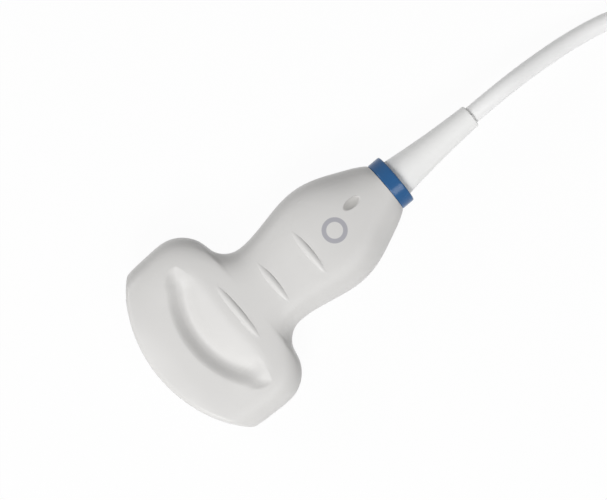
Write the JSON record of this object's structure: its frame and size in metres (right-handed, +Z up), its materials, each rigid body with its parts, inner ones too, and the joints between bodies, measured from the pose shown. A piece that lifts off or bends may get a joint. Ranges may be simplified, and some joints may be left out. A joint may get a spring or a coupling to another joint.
{
  "type": "ultrasound transducer probe",
  "caption": "Convex ultrasound transducer probe with a wide curved lens, a waisted grip, a coloured ring and a cable that ends in a system connector with a rotary lock.",
  "frame": {"origin": "on the table below the middle of the probe, without its cable", "axes": "+X along the probe's axis from the lens to the cable, +Y to its left, +Z up out of its front face"},
  "size_m": [0.5014, 0.0993, 0.0444],
  "materials": {
    "shell": "satin moulded",
    "lens": "smooth silicone",
    "matching": "filled epoxy",
    "ceramic": "lapped ceramic",
    "backing": "cast",
    "chassis": "machined",
    "flex": "film",
    "board": "lacquered",
    "socket": "moulded",
    "shield": "tinned sheet",
    "steel": "turned",
    "wires": "lacquered wire",
    "clamp": "bead blasted",
    "seal": "moulded",
    "ring": "gloss",
    "relief": "moulded elastomer",
    "cable": "satin jacket",
    "strap": "woven",
    "case": "fine grained",
    "contact_block": "moulded",
    "contacts": "gold plated",
    "lever": "satin moulded"
  },
  "bodies": {
    "probe": {"front_shell": "shell", "rear_shell": "shell", "acoustic_lens": "lens", "outer_matching_layer": "matching", "inner_matching_layer": "matching", "piezo_elements": "ceramic", "backing_block": "backing", "chassis": "chassis", "front_flex": "flex", "rear_flex": "flex", "front_board": "board", "rear_board": "board", "front_socket": "socket", "rear_socket": "socket", "front_shield": "shield", "rear_shield": "shield", "board_standoffs": "steel", "board_screws": "steel", "front_wires": "wires", "rear_wires": "wires", "braid_ferrule": "steel", "upper_clamp": "clamp", "lower_clamp": "clamp", "clamp_screws": "steel", "tail_seal": "seal", "colour_ring": "ring", "strain_relief": "relief", "cable_root": "cable", "cable_lead": "cable", "cable_coil": "cable", "cable_tail": "cable", "cable_entry": "cable", "coil_strap": "strap", "connector_base": "case", "connector_cover": "case", "contact_block": "contact_block", "contact_pads": "contacts", "connector_board": "board", "connector_boot": "relief", "entry_ferrule": "steel", "connector_screws": "steel"},
    "lock": {"lock_shaft": "steel", "shaft_clip": "steel", "lock_lever": "lever", "lever_screw": "steel"}
  },
  "joints": [
    {"name": "lock_turn", "type": "hinge", "parent": "probe", "child": "lock", "pos_m": [0.37302, -0.00517, 0.036], "axis": [0, 0, 1], "range_deg": [0, 90]}
  ]
}
